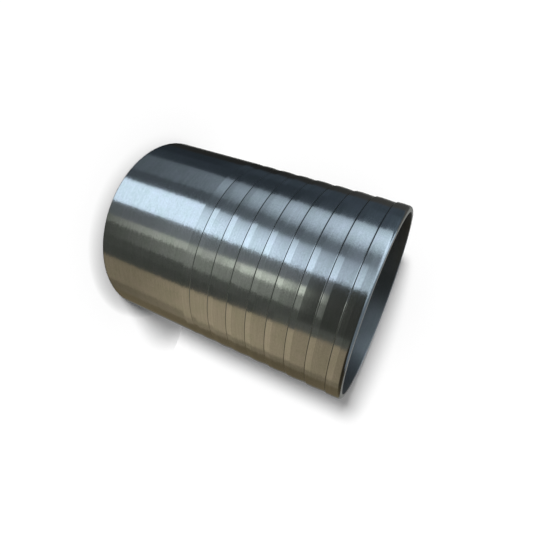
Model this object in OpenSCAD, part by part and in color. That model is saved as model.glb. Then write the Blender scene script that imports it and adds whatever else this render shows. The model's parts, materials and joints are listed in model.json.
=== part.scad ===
// Weld-on hose barb fitting, turned from one length of stainless steel tube.
// The fitting stands on its plain weld end: +Z runs along the axis to the hose mouth,
// and the origin is the centre of the weld end's face.

/* [Tube] */
// Outside diameter of the tube, which is also the diameter of the barb crests
tube_od = 101.6; // [76.2:0.1:152.4]
// Thickness of the tube's wall
tube_wall = 3; // [2.6:0.1:6]
// Length from the weld end's face to the mouth's face
tube_length = 134; // [110:0.5:220]
// Chamfer that breaks the outer and inner edges of the weld end
weld_edge = 0.4; // [0.2:0.1:0.8]

/* [Barbs] */
// Number of barbs
barb_count = 8; // [2:1:9]
// Distance from the crest edge of one barb to the crest edge of the next
barb_pitch = 10.2; // [8:0.1:12]
// Depth of the root behind each barb, below the crests
barb_depth = 0.45; // [0.3:0.05:1]
// Width of the straight land on the crest of each barb
barb_land = 2.7; // [1.5:0.1:4.5]
// Length from the plain tube's end to the crest edge of the first barb
first_slope = 5.2; // [3.5:0.1:8]
// Nose radius of the cutting tool, which leaves a cove behind each crest
nose_radius = 0.8; // [0.2:0.1:1.2]
// Radius on the edge of each crest
crest_radius = 0.08; // [0.02:0.02:0.1]

/* [Mouth] */
// Distance from the crest edge of the last barb to the mouth's face
mouth_run = 7.2; // [6.5:0.1:12]
// Radius that rounds the outer edge of the mouth, so that a hose slides on
mouth_radius = 1.8; // [0.8:0.1:2]
// Chamfer that breaks the inner edge of the mouth
bore_edge = 0.3; // [0.1:0.1:0.5]

/* [Hidden] */
tube_r = tube_od / 2;
bore_r = tube_r - tube_wall;
last_crest_z = tube_length - mouth_run;
first_crest_z = last_crest_z - (barb_count - 1) * barb_pitch;
barb_slope = barb_pitch - barb_land;
// Where the middle of the tool's nose stands when it has cut down to the root
nose_r = tube_r - barb_depth + nose_radius;
// The cove and the rounded crest edge touch on the line between their centres. This is that
// line's angle, which is square to the axis where the cove has a straight wall above it.
touch_angle = 90 + asin(max(0, nose_r - tube_r + crest_radius) / (nose_radius + crest_radius));
// Height of the nose's middle below the crest edge that it cuts
nose_drop = (nose_radius + crest_radius) * sin(touch_angle);
// The last slope is as steep as the others, and the mouth's face cuts it short
last_slope_angle = slope_angle(barb_slope);
mouth_r = tube_r - (mouth_run - barb_land) * tan(last_slope_angle);
// Straight pieces in each rounded corner of the section
cove_pieces = 6;
crest_pieces = 3;
mouth_pieces = 10;
// Faces round the axis
turn_fn = 180;

// Points of an arc from one angle to another
function arc(centre, radius, from, to, pieces) = [
    for (i = [0 : pieces])
        let (a = from + (to - from) * i / pieces)
        centre + radius * [cos(a), sin(a)]
];

// Angle of the slope that leaves the crest diameter and runs into the cove, when it starts
// the given run below the next crest edge
function slope_angle(run) =
    let (across = nose_r - tube_r, along = run - nose_drop)
    asin(nose_radius / norm([across, along])) - atan2(across, along);

// One barb as the tool cuts it, with its crest edge at height z: down the slope, round the
// cove that the tool's nose leaves, and out over the edge of the crest
function barb(z, run) = concat(
    [[tube_r, z - run]],
    arc([nose_r, z - nose_drop], nose_radius, 180 + slope_angle(run), touch_angle, cove_pieces),
    arc([tube_r - crest_radius, z], crest_radius, touch_angle - 180, 0, crest_pieces)
);

// The last barb's slope and the round shoulder where it meets the mouth's face
function mouth() =
    let (reach = mouth_radius / tan((90 + last_slope_angle) / 2))
    concat(
        [[tube_r, last_crest_z + barb_land]],
        arc([mouth_r - reach, tube_length - mouth_radius], mouth_radius, last_slope_angle, 90,
            mouth_pieces)
    );

// The outside from the weld end to the mouth
function outside() = concat(
    [[tube_r - weld_edge, 0], [tube_r, weld_edge]],
    [for (i = [0 : 1 : barb_count - 1])
        each barb(first_crest_z + i * barb_pitch, i == 0 ? first_slope : barb_slope)],
    mouth()
);

// The plain bore from the mouth back to the weld end
function inside() = [
    [bore_r + bore_edge, tube_length],
    [bore_r, tube_length - bore_edge],
    [bore_r, weld_edge],
    [bore_r + weld_edge, 0]
];

module barbed_tube() {
    color([0.62, 0.62, 0.60])
        rotate_extrude($fn = turn_fn) polygon(concat(outside(), inside()));
}

barbed_tube();
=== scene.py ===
# %% [markdown]
# # A weld-on hose barb fitting in turned stainless steel
# The real object is one length of thin-walled tube. A lathe has cut eight saw-tooth barbs
# into one end, and the other end is left plain, so that it can be welded to a pipe.
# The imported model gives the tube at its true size, standing on its weld end with its axis
# along Z. Everything here is measured from that frame, in metres.

import json
from math import asin, atan2, cos, degrees, hypot, pi, radians, sin, tan

import bpy
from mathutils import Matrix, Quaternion, Vector


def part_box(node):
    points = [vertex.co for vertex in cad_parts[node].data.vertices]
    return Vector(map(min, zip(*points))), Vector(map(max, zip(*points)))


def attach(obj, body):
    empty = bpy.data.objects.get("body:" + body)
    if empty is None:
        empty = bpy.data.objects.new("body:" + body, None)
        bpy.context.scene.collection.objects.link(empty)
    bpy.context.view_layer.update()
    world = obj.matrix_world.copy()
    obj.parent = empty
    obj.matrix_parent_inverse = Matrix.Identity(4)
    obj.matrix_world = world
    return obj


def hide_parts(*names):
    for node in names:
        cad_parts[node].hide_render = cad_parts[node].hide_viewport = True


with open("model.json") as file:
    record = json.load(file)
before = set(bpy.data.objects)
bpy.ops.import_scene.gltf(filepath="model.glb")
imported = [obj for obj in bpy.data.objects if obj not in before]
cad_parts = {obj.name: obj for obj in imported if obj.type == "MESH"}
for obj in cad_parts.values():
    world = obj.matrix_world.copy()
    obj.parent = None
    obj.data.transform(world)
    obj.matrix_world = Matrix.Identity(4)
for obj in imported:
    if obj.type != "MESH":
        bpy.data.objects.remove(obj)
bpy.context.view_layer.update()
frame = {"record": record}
MM = 0.001

mounts = {mount["name"]: mount for mount in frame["record"]["mounts"]}
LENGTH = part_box("barbed_tube")[1].z
TUBE_R = mounts["weld_end"]["dims"]["r_mm"] * MM
BORE_R = mounts["through_bore"]["dims"]["r_mm"] * MM
print(f"tube {2 * TUBE_R / MM:.1f} mm outside, {2 * BORE_R / MM:.1f} mm bore, {LENGTH / MM:.1f} mm long")

# %% [markdown]
# ## Camera
# The photograph was taken close up, so the mouth looks larger than the weld end and the
# sides of the tube run together. A camera at the same distance, with the same lens, gives
# that taper; a longer lens further off would flatten it. The camera is rolled, because the
# tube stands upright here and lies across the picture there.

# %% Camera
CAMERA_PLACE = Vector((0, -202.5, 149.9)) * MM
CAMERA_AIM = Vector((5.24, 0, 77.97)) * MM
CAMERA_ROLL = radians(110.64)
CAMERA_LENS = 25.185
SENSOR = 36

camera_data = bpy.data.cameras.new("camera")
camera_data.sensor_width = SENSOR
camera_data.lens = CAMERA_LENS
camera_data.clip_start = 0.005
camera_data.clip_end = 50
camera = bpy.data.objects.new("camera", camera_data)
bpy.context.scene.collection.objects.link(camera)
camera.location = CAMERA_PLACE
camera.rotation_mode = "QUATERNION"
level = (CAMERA_AIM - CAMERA_PLACE).to_track_quat("-Z", "Y")
camera.rotation_quaternion = level @ Quaternion((0, 0, 1), CAMERA_ROLL)
bpy.context.scene.camera = camera
print(f"camera {-CAMERA_PLACE.y / TUBE_R:.2f} tube radii from the axis")

# %% [markdown]
# ## The barbs' section
# A turned part is its section swept round the axis, so the section is all there is to draw.
# Each barb is a flat land, a long slope and a sharp way back out. The tool that cuts it has
# a round nose, so the slope doesn't end in a corner: it runs into a small cove, which climbs
# to the edge of the next crest. That cove shows as a dark hairline round the tube, so it gets
# its true curve and not a bevel; the steel's colour in the cove is also darkened as painted shade.

# %% Barb sizes
BARBS = 8
PITCH = 10.2 * MM
BARB_DEPTH = 0.45 * MM
LAND = 2.7 * MM
FIRST_SLOPE = 5.2 * MM
NOSE_RADIUS = 0.8 * MM
CREST_RADIUS = 0.08 * MM
MOUTH_RUN = 7.2 * MM
MOUTH_RADIUS = 1.8 * MM
WELD_EDGE = 0.4 * MM
BORE_EDGE = 0.3 * MM
SLOPE = PITCH - LAND

last_crest = LENGTH - MOUTH_RUN
first_crest = last_crest - (BARBS - 1) * PITCH
plain_end = first_crest - FIRST_SLOPE
nose_r = TUBE_R - BARB_DEPTH + NOSE_RADIUS
# The cove and the rounded edge of the crest touch on the line between their centres
touch = pi / 2 + asin((nose_r - TUBE_R + CREST_RADIUS) / (NOSE_RADIUS + CREST_RADIUS))
nose_drop = (NOSE_RADIUS + CREST_RADIUS) * sin(touch)
print(f"barbs from {plain_end / MM:.1f} mm up, roots {BARB_DEPTH / MM:.2f} mm deep")

# %% [markdown]
# Smooth shading blends the normals of neighbouring faces, so a crease between two long faces
# would smear over both. Two extra points close to the ends of each straight stretch keep the
# blend beside the crease, as support loops do.

# %% Section helpers
SUPPORT = 0.2 * MM


def arc(centre, radius, start, end, pieces):
    """Points of an arc in the section, from one angle to another."""
    angles = [start + (end - start) * i / pieces for i in range(pieces + 1)]
    return [(centre[0] + radius * cos(a), centre[1] + radius * sin(a)) for a in angles]


def straight(start, end, pieces):
    """Points of a straight stretch, with a support point close to each end."""
    share = SUPPORT / hypot(end[0] - start[0], end[1] - start[1])
    places = [0, share] + [i / pieces for i in range(1, pieces)] + [1 - share, 1]
    return [(start[0] + (end[0] - start[0]) * p, start[1] + (end[1] - start[1]) * p) for p in places]


def slope_lean(run):
    """Angle of a slope that starts at the crest diameter and just touches the cove."""
    across, along = nose_r - TUBE_R, run - nose_drop
    return asin(NOSE_RADIUS / hypot(across, along)) - atan2(across, along)


# %% [markdown]
# A barb is drawn from its slope up to the end of its land, so that barbs can be strung
# together. The mouth ends the outside: its slope is as steep as the others but shorter, and
# a hose slides on over its round shoulder.

# %% Barbs and mouth
def barb(crest_z, run):
    """One slope, the cove at its foot, the edge of the next crest and its land."""
    cove = arc((nose_r, crest_z - nose_drop), NOSE_RADIUS, pi + slope_lean(run), touch, 10)
    edge = arc((TUBE_R - CREST_RADIUS, crest_z), CREST_RADIUS, touch - pi, 0, 4)
    slope = straight((TUBE_R, crest_z - run), cove[0], 6)
    land = straight((TUBE_R, crest_z), (TUBE_R, crest_z + LAND), 3)
    return slope[:-1] + cove + edge + land[1:-1]


def mouth():
    """The last slope, the round shoulder, the rim and the edge of the bore."""
    lean = slope_lean(SLOPE)
    reach = MOUTH_RADIUS / tan((pi / 2 + lean) / 2)
    corner_r = TUBE_R - (MOUTH_RUN - LAND) * tan(lean)
    shoulder = arc((corner_r - reach, LENGTH - MOUTH_RADIUS), MOUTH_RADIUS, lean, pi / 2, 14)
    slope = straight((TUBE_R, last_crest + LAND), shoulder[0], 4)
    return slope[:-1] + shoulder + [(BORE_R + BORE_EDGE, LENGTH)]


def tube_section():
    """The whole section, out from the weld end, up the outside and back down the bore."""
    path = [(BORE_R + WELD_EDGE, 0), (TUBE_R - WELD_EDGE, 0)]
    path += straight((TUBE_R, WELD_EDGE), (TUBE_R, plain_end), 8)[:-1]
    for i in range(BARBS):
        path += barb(first_crest + i * PITCH, SLOPE if i else FIRST_SLOPE)
    path += mouth()
    path += straight((BORE_R, LENGTH - BORE_EDGE), (BORE_R, WELD_EDGE), 8)
    return path + path[:1]


section = tube_section()
lean = degrees(slope_lean(SLOPE))
print(f"section: {len(section)} points, slopes lean {lean:.1f} degrees")

# %% [markdown]
# ## Turning the tube
# A lathe part can be made with a Screw modifier, or in edit mode with Spin. Spin is used, as
# it is the nearest thing to the lathe. A plane is merged to one point, that point is extruded
# along the section, and the line is spun once round Z. The ends of the line meet, and so do
# the first and last lines of the spin, so merging doubles closes the skin. Spin doesn't know
# which side is metal, so the normals are worked out afterwards.

# %% Draw a line and spin it
TURNS = 288
WELD_GAP = 0.002 * MM
SMOOTH_BELOW = radians(30)


def draw_line(name, points):
    """An object whose mesh is one line through the points."""
    bpy.ops.object.select_all(action="DESELECT")
    bpy.ops.mesh.primitive_plane_add(size=1, location=(0, 0, 0))
    line = bpy.context.active_object
    line.name = line.data.name = name
    bpy.ops.object.mode_set(mode="EDIT")
    bpy.ops.mesh.select_all(action="SELECT")
    bpy.ops.mesh.merge(type="CENTER")
    bpy.ops.transform.translate(value=points[0])
    for here, there in zip(points, points[1:]):
        bpy.ops.mesh.extrude_region_move(TRANSFORM_OT_translate={"value": there - here})
    bpy.ops.object.mode_set(mode="OBJECT")
    return line


tube = draw_line("turned_tube", [Vector((r, 0, z)) for r, z in section])
bpy.ops.object.mode_set(mode="EDIT")
bpy.ops.mesh.select_all(action="SELECT")
bpy.ops.mesh.spin(steps=TURNS, angle=2 * pi, center=(0, 0, 0), axis=(0, 0, 1))
bpy.ops.mesh.select_all(action="SELECT")
bpy.ops.mesh.remove_doubles(threshold=WELD_GAP)
bpy.ops.mesh.normals_make_consistent(inside=False)
bpy.ops.object.mode_set(mode="OBJECT")
bpy.ops.object.shade_smooth_by_angle(angle=SMOOTH_BELOW)
tube.data.calc_loop_triangles()
print(f"turned_tube: {len(tube.data.vertices)} points, {len(tube.data.loop_triangles)} triangles")

# %% [markdown]
# ## Node maths as plain expressions
# Shader graphs are long when they are written node by node. Wrapping a socket in a small
# class lets an expression such as `1 - mask * 0.5` add its own Math nodes.

# %% Shader helpers
class Finish:
    """A material or world whose nodes are added from Python expressions."""

    def __init__(self, owner):
        self.owner = owner
        owner.use_nodes = True
        self.tree = owner.node_tree
        self.tree.nodes.clear()

    def node(self, kind, settings=None, stops=None, **inputs):
        """Adds a node: its settings first, then the stops of a ramp, then its inputs."""
        made = self.tree.nodes.new("ShaderNode" + kind)
        for key, value in (settings or {}).items():
            setattr(made, key, value)
        for i, (place, colour) in enumerate(stops or []):
            elements = made.color_ramp.elements
            element = elements[i] if i < len(elements) else elements.new(place)
            element.position = place
            element.color = (*colour, 1)
        for key, value in inputs.items():
            socket = made.inputs[int(key[1:])] if key[1:].isdigit() else made.inputs[key.replace("_", " ")]
            if isinstance(value, Value):
                self.tree.links.new(value.socket, socket)
            else:
                socket.default_value = value
        return made

    def value(self, kind, settings=None, stops=None, output=0, **inputs):
        """Adds a node and gives one of its outputs."""
        return Value(self, self.node(kind, settings, stops, **inputs).outputs[output])

    def math(self, operation, *values):
        inputs = {f"i{i}": value for i, value in enumerate(values)}
        return self.value("Math", {"operation": operation}, **inputs)

    def vector(self, operation, *values, **inputs):
        inputs.update({f"i{i}": value for i, value in enumerate(values)})
        return self.value("VectorMath", {"operation": operation}, **inputs)

    def place(self):
        """The three Object coordinates."""
        coordinates = self.value("TexCoord", output="Object")
        parts = self.node("SeparateXYZ", Vector=coordinates)
        return [Value(self, socket) for socket in parts.outputs]


class Value:
    """A number that varies over the surface: the output socket of a node."""

    def __init__(self, finish, socket):
        self.finish = finish
        self.socket = socket

    def __add__(self, other):
        return self.finish.math("ADD", self, other)

    def __sub__(self, other):
        return self.finish.math("SUBTRACT", self, other)

    def __mul__(self, other):
        return self.finish.math("MULTIPLY", self, other)

    def __truediv__(self, other):
        return self.finish.math("DIVIDE", self, other)

    def __gt__(self, other):
        return self.finish.math("GREATER_THAN", self, other)

    def __lt__(self, other):
        return self.finish.math("LESS_THAN", self, other)

    def __rsub__(self, other):
        return self.finish.math("SUBTRACT", other, self)

    __radd__ = __add__
    __rmul__ = __mul__


# %% [markdown]
# ## Turned steel
# Stainless steel off the lathe and lightly polished is half bright. Its scratches run round
# the tube, so reflections smear along the axis and their edges look torn: each ring of
# scratches throws them a little to one side. A bump map can't do that alone, because rings
# that are steep round the tube would be far steeper along it. So the normal is leaned
# sideways by a noise that is fine in height and long in angle, and a faint bump is added.
# The lands and the plain end keep the polish. The slopes are as the tool left them, and the
# polishing wheel doesn't reach the coves or the bore, so they stay rougher. Their colour is also
# made darker: that is painted shade in the coves and inside the bore, not a property of the steel.

# %% Turned steel
STEEL_TONE = 0.6
STEEL_TINT = (1.0, 0.995, 0.98)
STAIN_TINT = (0.02, -0.03, 0.03)
# Width of the band before each crest that is made rougher and darkened as painted shade
DULL_AND_SHADED_WIDTH = 0.55 * MM


def turned_steel():
    """Half-bright stainless steel with scratches that run round Z."""
    steel = Finish(bpy.data.materials.new("turned_steel"))
    x, y, z = steel.place()
    radius = steel.math("SQRT", x * x + y * y)
    round_x, round_y = x / radius, y / radius

    def rings(long, fine, detail, shift):
        """Noise from -1 to 1 whose grains are long round the tube and fine along it."""
        vector = steel.value("CombineXYZ", X=round_x * long, Y=round_y * long, Z=z * fine + shift)
        noise = steel.value("TexNoise", Vector=vector, Scale=1, Detail=detail)
        return (noise - 0.5) * 2

    def grains(scale, detail):
        """Noise from -1 to 1 whose grains are round."""
        place = steel.value("TexCoord", output="Object")
        return (steel.value("TexNoise", Vector=place, Scale=scale, Detail=detail) - 0.5) * 2

    fine_rings = rings(3, 2400, 2, 0)
    broad_rings = rings(3, 800, 1, 40)
    haze = rings(2, 60, 2, 80)
    speckle = grains(1400, 1)
    stains = grains(190, 2)

    risen = steel.math("FLOORED_MODULO", z - first_crest, PITCH)
    barbed = (z > plain_end) * (radius > BORE_R + BORE_EDGE)
    slope = barbed * (risen > LAND)
    cove = barbed * (risen > PITCH - DULL_AND_SHADED_WIDTH)
    bore = radius < BORE_R + BORE_EDGE / 2

    tone = 1 + haze * 0.06 + fine_rings * 0.1 + broad_rings * 0.05 + speckle * 0.12 - slope * 0.1
    # The cove and bore factors darken the tone as painted shade; their roughness below is real.
    tone = (tone + stains * 0.08) * (1 - cove * 0.45) * (1 - bore * 0.4) * STEEL_TONE
    shares = [(1 + stains * stain) * share for stain, share in zip(STAIN_TINT, STEEL_TINT)]
    colour = steel.value("CombineColor", Red=tone * shares[0], Green=tone * shares[1],
                         Blue=tone * shares[2])
    rough = 0.14 + haze * 0.02 + slope * 0.03 + cove * 0.15 + bore * 0.3

    lean = fine_rings * 0.008 + broad_rings * 0.01 + speckle * 0.018
    around = steel.value("CombineXYZ", X=round_y * lean, Y=round_x * lean * -1, Z=0)
    normal = steel.value("NewGeometry", output="Normal")
    leaned = steel.vector("NORMALIZE", steel.vector("ADD", normal, around))
    bump = steel.value("Bump", Strength=0.25, Distance=0.004 * MM, Height=fine_rings, Normal=leaned)
    shader = steel.value("BsdfPrincipled", Metallic=1, Anisotropic=0.3, Anisotropic_Rotation=0.25,
                         Base_Color=colour, Roughness=rough, Normal=bump)
    steel.node("OutputMaterial", Surface=shader)
    return steel.owner


tube.data.materials.clear()
tube.data.materials.append(turned_steel())
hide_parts("barbed_tube")
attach(tube, "root")
print("turned_tube: turned steel, on body root")

# %% [markdown]
# ## Floor, backdrop and world
# The background is white because the paper and the world are white, not because more light
# falls on the steel. One sheet of paper lies under the tube. Another stands close behind it,
# so that the tube's shadow shows beside it as it does in the photograph. Close to the tube the
# paper's colour is darkened by an ambient occlusion node, more on the lamps' far side: that is
# painted contact shade. The backdrop is clear from behind, or it would hide the tube from there.

# %% Floor and backdrop
PAPER_WHITE = 0.9
PAPER_REACH = 30
BACKDROP_GAP = 5 * MM
PAINTED_SHADE_REACH = 9 * MM
PAINTED_SHADE_DEPTH = 0.5
PAINTED_SHADE_WAY = (-0.8, 0.3, 0.5)
BLOCK_DEPTH = 25 * MM
BLOCK_GAP = 0.05 * MM


def paper(name, location, rotation):
    """A large sheet of white paper that is clear from its back, throws no shadow, and has painted contact
    shade darkening its colour near the tube.
    """
    bpy.ops.object.select_all(action="DESELECT")
    bpy.ops.mesh.primitive_plane_add(size=2 * PAPER_REACH, location=location, rotation=rotation)
    sheet = bpy.context.active_object
    sheet.name = sheet.data.name = name
    bpy.ops.object.transform_apply(location=True, rotation=True)
    finish = Finish(bpy.data.materials.new(name))
    way = finish.value("CombineXYZ", X=PAINTED_SHADE_WAY[0], Y=PAINTED_SHADE_WAY[1], Z=PAINTED_SHADE_WAY[2])
    # Painted contact shade: the ambient occlusion node darkens the paper's colour near the tube.
    painted_shade = 1 - finish.value("AmbientOcclusion", output="AO", Distance=PAINTED_SHADE_REACH, Normal=way)
    white = (1 - painted_shade * PAINTED_SHADE_DEPTH) * PAPER_WHITE
    behind = finish.value("NewGeometry", output="Backfacing")
    shader = finish.value("MixShader", i0=behind, i1=finish.value("BsdfDiffuse", Color=white),
                          i2=finish.value("BsdfTransparent"))
    finish.node("OutputMaterial", Surface=shader)
    sheet.data.materials.append(finish.owner)
    sheet.visible_diffuse = sheet.visible_glossy = sheet.visible_shadow = False
    return sheet


def light_block(radius):
    """A disc under the floor, or light from just below the horizon would pass under the tube."""
    bpy.ops.object.select_all(action="DESELECT")
    bpy.ops.mesh.primitive_cylinder_add(vertices=96, radius=radius, depth=BLOCK_DEPTH,
                                        location=(0, 0, -BLOCK_DEPTH / 2 - BLOCK_GAP))
    block = bpy.context.active_object
    block.name = block.data.name = "light_block"
    bpy.ops.object.transform_apply(location=True)
    for ray in ("camera", "diffuse", "glossy", "transmission", "volume_scatter"):
        setattr(block, "visible_" + ray, False)


floor = paper("floor", (0, 0, 0), (0, 0, 0))
backdrop = paper("backdrop", (0, TUBE_R + BACKDROP_GAP, PAPER_REACH), (pi / 2, 0, 0))
light_block(TUBE_R)
print(f"backdrop {BACKDROP_GAP / MM:.0f} mm behind the tube")

# %% [markdown]
# A white world closes the picture where the paper ends. It is white where it is seen or
# reflected, and weaker as a light, so that shadows on the paper still show.

# %% World
AMBIENT = 0.36

world = bpy.data.worlds.new("studio")
bpy.context.scene.world = world
sky = Finish(world)
rays = sky.node("LightPath")
camera_ray, glossy_ray, transmission_ray = [
    Value(sky, rays.outputs[f"Is {kind} Ray"]) for kind in ("Camera", "Glossy", "Transmission")]
seen = sky.math("MAXIMUM", sky.math("MAXIMUM", camera_ray, glossy_ray), transmission_ray)
seen = seen * (Value(sky, rays.outputs["Diffuse Depth"]) < 0.5)
strength = AMBIENT + seen * (1 - AMBIENT)
sky.node("OutputWorld", Surface=sky.value("Background", Color=(1, 1, 1, 1), Strength=strength))
print(f"world: white where it is seen, {AMBIENT} as light")

# %% [markdown]
# ## Lamps
# The shadow in the photograph is a soft edge along the lower side of the tube, round its
# weld end and past its mouth. Soft sun lamps give it, because a sun lights paper evenly. A
# level lamp throws the tube's shadow on to the backdrop. A lamp from the same side but high
# up throws it on to the floor, so that the two shadows meet where the sheets meet. Each is
# linked to its own sheet, or it would brighten the other one's shadow. Reflections don't
# see the lamps.

# %% Lamps


def lamp(name, sheet, turn, rise, spread, share):
    """A soft sun lamp for one sheet: its place round the tube, height, width and share."""
    data = bpy.data.lights.new(name, "SUN")
    data.angle = radians(spread)
    sun = bpy.data.objects.new(name, data)
    bpy.context.scene.collection.objects.link(sun)
    turn, rise = radians(turn), radians(rise)
    source = Vector((-sin(turn) * cos(rise), -cos(turn) * cos(rise), sin(rise)))
    sun.rotation_mode = "QUATERNION"
    sun.rotation_quaternion = source.to_track_quat("Z", "Y")
    data.energy = share * pi / source.dot(sheet.data.polygons[0].normal)
    sun.visible_glossy = False
    lit = bpy.data.collections.new(name + "_lights")
    lit.objects.link(sheet)
    sun.light_linking.receiver_collection = lit
    print(f"{name}: {spread} degrees wide, {share} of the light on the {sheet.name}")


lamp("level_lamp", backdrop, 20, -2, 10.5, 0.84)
lamp("high_lamp", floor, 28, 67, 9, 0.84)

# %% [markdown]
# ## Cards that the steel reflects
# Polished steel has hardly any colour of its own: the dark and bright bands along the tube
# are what stands round it. A photographer places cards and soft boxes for that. Each card
# here fills the room between two lines of sight, so that it is seen in one band of the tube
# at every height. Most stand far off and reach below the floor, as a room does round a table,
# and a row of low ones stands close in front. Only reflections see the cards, so they neither
# light nor shade anything else.

# %% Lines of sight
LIMB = pi / 2 - asin(TUBE_R / -CAMERA_PLACE.y)


def bearing(turn):
    """Where the tube reflects to, at an angle round it from the camera's side."""
    if abs(turn) <= LIMB:
        return 2 * turn + atan2(TUBE_R * sin(turn), -CAMERA_PLACE.y - TUBE_R * cos(turn))
    rest = (pi - bearing(LIMB)) * (abs(turn) - LIMB) / (pi - LIMB)
    return (bearing(LIMB) + rest) * (1 if turn > 0 else -1)


def sight(turn, radius):
    """The place at a distance from the axis that the tube reflects, at an angle round it."""
    start = Vector((sin(turn), -cos(turn), 0)) * TUBE_R
    way = Vector((sin(bearing(turn)), -cos(bearing(turn)), 0))
    along = start.dot(way)
    return start + way * ((along * along + radius * radius - TUBE_R * TUBE_R) ** 0.5 - along)


print(f"the outline of the tube is {degrees(LIMB):.1f} degrees round from the camera")

# %% [markdown]
# A card's tones are given as brightness from 0 to 255 at a few heights, in tube radii above
# the floor. Steel sends back only part of the light, so a card is that much brighter than it
# looks in the tube. A card may also fade to its sides, away from a line where it is lightest.
# It doesn't glow where the paper sees it in the tube, or it would fill in the shadow.

# %% A card's finish
TONE_LOW, TONE_HIGH = -18, 18
SCREEN_GAMMA = 2.2
CARD_GAIN = 1 / STEEL_TONE
NEUTRAL = (0.99, 1.0, 0.98)
GREEN = (0.97, 1.01, 0.96)
DUSK = (0.94, 1.0, 1.03)
COOL = (0.9, 1.0, 1.08)
BLUE = (0.87, 1.0, 1.12)
WARM = (1.07, 1.0, 0.84)
BROWN = (1.09, 1.0, 0.8)


def glow(name, tint, tones, place_of, shade_of=None):
    """A glowing finish whose tone follows a place on it, in tube radii."""
    finish = Finish(bpy.data.materials.new(name))
    stops = [((place - TONE_LOW) / (TONE_HIGH - TONE_LOW),
              [(tone * share / 255) ** SCREEN_GAMMA for share in tint]) for place, tone in tones]
    place = (place_of(finish) - TONE_LOW) / (TONE_HIGH - TONE_LOW)
    colour = finish.value("ValToRGB", {}, stops, Fac=place)
    if shade_of:
        colour = finish.vector("SCALE", colour, Scale=shade_of(finish))
    direct = finish.value("LightPath", output="Diffuse Depth") < 0.5
    emission = finish.value("Emission", Color=colour, Strength=direct * CARD_GAIN)
    finish.node("OutputMaterial", Surface=emission)
    return finish.owner


def height(finish):
    return finish.place()[2] / TUBE_R


def only_reflected(item):
    """Hides a stage item from everything but reflections."""
    for ray in ("camera", "diffuse", "transmission", "volume_scatter", "shadow"):
        setattr(item, "visible_" + ray, False)


# %% [markdown]
# A card is a grid whose points are set by bearing and height. Its two sides lean, because
# the photograph's bands don't run quite along the tube: a side has one angle low down, one
# in the middle and one high up.

# %% A card's shape
FAR = 16.75 * TUBE_R
NEAR = 4 * TUBE_R
FAR_ROWS = (-18, -10, -5, 0, 18)
NEAR_ROWS = (-6, -2, 1, 1.4, 1.75)
# Which of a side's three angles each row takes
ROW_ANGLES = (0, 0, 1, 2, 2)
FADE_FROM, FADE_TO = -10, -5
COLUMNS = 8


def card(name, left, right, tint, tones, peak=0.5, fade=0, radius=FAR, rows=FAR_ROWS, columns=COLUMNS):
    """A standing card between two sides. A side is three angles: low, in the middle and high."""
    bpy.ops.object.select_all(action="DESELECT")
    bpy.ops.mesh.primitive_grid_add(x_subdivisions=columns, y_subdivisions=len(rows) - 1, size=2)
    made = bpy.context.active_object
    made.name = made.data.name = name
    for vertex in made.data.vertices:
        across = (vertex.co.x + 1) / 2
        row = round((vertex.co.y + 1) / 2 * (len(rows) - 1))
        start, end = left[ROW_ANGLES[row]], right[ROW_ANGLES[row]]
        foot = sight(radians(start + (end - start) * across), radius)
        vertex.co = (foot.x, foot.y, rows[row] * TUBE_R)

    def shade(finish):
        """Darker away from the lightest line, and less so low down."""
        parts = finish.node("SeparateXYZ", Vector=finish.value("TexCoord", output="UV"))
        away = Value(finish, parts.outputs[0]) - peak
        grown = finish.value("MapRange", Value=height(finish), From_Min=FADE_FROM, From_Max=FADE_TO)
        return 1 - away * away * grown * fade

    made.data.materials.append(glow(name, tint, tones, height, shade if fade else None))
    only_reflected(made)
    print(f"{name}: {left[0]} to {right[0]} degrees round")


# %% [markdown]
# The far cards go once round the tube. On the camera's left they are black, navy, indigo and
# slate, and then comes the bright window. Right of the middle come a dark gap, olive, tan and
# brown. Behind the tube they are plain grey.

# %% The far cards
ROUND_LEFT, ROUND_RIGHT = (-180, -180, -180), (180, 180, 180)
BLACK_SIDE, BROWN_SIDE = (-68, -68, -68), (68, 68, 68)
NAVY_SIDE, INDIGO_SIDE = (-56.5, -56.5, -56.5), (-48, -48, -48)
SLATE_LEFT, SLATE_RIGHT = (-39.2, -37, -35.8), (-25.5, -23, -20.5)
WINDOW_LEFT, WINDOW_RIGHT = (-18.3, -16.3, -14.6), (-4, -3.4, -3)
OLIVE_LEFT, TAN_LEFT = (20.5, 20.5, 20), (28, 26.5, 25)
TAN_RIGHT, BROWN_LEFT = (45, 48, 48), (54, 53.5, 53)

card("back_left", ROUND_LEFT, BLACK_SIDE, NEUTRAL, [(-18, 88), (0, 92), (6, 110), (18, 125)], columns=24)
card("black", BLACK_SIDE, NAVY_SIDE, NEUTRAL,
     [(-18, 38), (-6, 34), (-3, 44), (0, 55), (3, 64), (18, 80)])
card("navy", NAVY_SIDE, INDIGO_SIDE, BLUE, [(-18, 40), (-10, 43), (-6, 58), (0, 62), (3, 64), (18, 80)])
card("indigo", INDIGO_SIDE, SLATE_LEFT, BLUE, [(-18, 50), (-4, 50), (-1, 60), (3, 80), (18, 90)])
card("slate", SLATE_LEFT, SLATE_RIGHT, COOL,
     [(-14, 82), (-10, 100), (-6, 132), (-4.8, 156), (-3.2, 170), (-1, 182), (3, 218), (8, 242)], 0.42, 2)
card("gap", SLATE_RIGHT, WINDOW_LEFT, COOL,
     [(-14, 66), (-10, 70), (-6, 82), (-3, 84), (0, 96), (3, 115), (8, 150)])
card("window", WINDOW_LEFT, WINDOW_RIGHT, COOL,
     [(-14, 226), (-10, 226), (-6, 240), (-3.5, 232), (-1, 212), (2, 176), (8, 190)], 1, 0.5)
card("night", WINDOW_RIGHT, OLIVE_LEFT, GREEN, [(-18, 60), (0, 54), (18, 44)])
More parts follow.
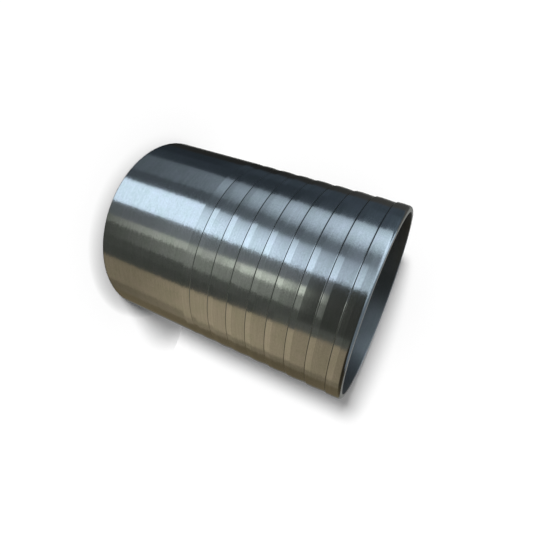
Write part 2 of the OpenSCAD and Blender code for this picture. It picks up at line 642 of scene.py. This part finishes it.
card("olive", OLIVE_LEFT, TAN_LEFT, GREEN, [(-18, 57), (-6, 60), (-3, 65), (-1, 76), (3, 75), (8, 48)])
card("tan", TAN_LEFT, TAN_RIGHT, WARM,
     [(-14, 98), (-12, 98), (-10, 112), (-6, 131), (-3, 129), (3, 108), (5, 60), (8, 40)])
card("tan_edge", TAN_RIGHT, BROWN_LEFT, WARM,
     [(-14, 78), (-10, 92), (-6, 108), (-1, 94), (3, 98), (5, 60), (8, 40)])
card("brown", BROWN_LEFT, BROWN_SIDE, BROWN, [(-14, 78), (-6, 78), (-1, 74), (3, 84), (5, 70), (8, 50)])
card("back_right", BROWN_SIDE, ROUND_RIGHT, NEUTRAL, [(-18, 96), (0, 95), (6, 110), (18, 125)], columns=24)

# %% [markdown]
# The near cards stand low and close in front. The grey bands in the middle of the tube stop
# short of the mouth, because the tube there sees over the tops of these cards.

# %% The near cards
near = {"radius": NEAR, "rows": NEAR_ROWS}
GLINT_SIDE, GREY_SIDE, SHADE_SIDE = (4, 4, 4), (8, 8, 8), (15.2, 15.2, 15.2)

card("dusk", WINDOW_RIGHT, GLINT_SIDE, DUSK, [(-3, 84), (-2, 88), (-1.2, 106), (0, 98)], **near)
card("glint", GLINT_SIDE, GREY_SIDE, GREEN,
     [(-3, 88), (-2, 130), (-1.2, 152), (0.1, 146), (0.5, 194), (1.5, 190), (1.65, 105)], **near)
card("grey", GREY_SIDE, SHADE_SIDE, GREEN,
     [(-3, 62), (-2, 82), (-1.2, 102), (0.1, 112), (1.4, 112), (1.7, 96)], **near)
card("shade", SHADE_SIDE, OLIVE_LEFT, GREEN, [(-3, 61), (-1.2, 65), (0.1, 71), (1.7, 68)], **near)

# %% [markdown]
# ## Cards above and below
# The rounded shoulder of the mouth turns from facing the camera to facing up, so it reflects
# everything from there to straight overhead and beyond. A card over the set is light towards
# the windows and grey elsewhere, which leaves a light line along the rim. A card far below
# closes the set for the coves, which look down. It is dark in front, as the photographer's
# own side is, so a step line is dark in the middle of the tube and paler near its edges.

# %% Cards above and below
LID_REACH = 1.02


def lid(name, height, tint, tones, way):
    """A round card that closes the set above or below. Its tone follows one way across it."""
    bpy.ops.object.select_all(action="DESELECT")
    bpy.ops.mesh.primitive_circle_add(vertices=48, radius=FAR * LID_REACH, fill_type="NGON",
                                      location=(0, 0, height * TUBE_R))
    made = bpy.context.active_object
    made.name = made.data.name = name
    bpy.ops.object.transform_apply(location=True)

    def across(finish):
        x, y, _ = finish.place()
        return (x * way[0] + y * way[1]) / TUBE_R

    made.data.materials.append(glow(name, tint, tones, across))
    only_reflected(made)
    print(f"{name}: {height} tube radii up")


lid("overhead", FAR_ROWS[-1], COOL, [(-18, 105), (2, 105), (6, 190), (18, 215)], (-0.9, -0.42))
lid("underneath", FAR_ROWS[0], GREEN, [(-18, 32), (-10, 36), (-4, 105), (18, 105)], (1, 1.5))

# %% [markdown]
# ## Finish
# The view transform is Standard, so that a colour shows about as it is written.

# %% Finish
bpy.context.scene.view_settings.view_transform = "Standard"
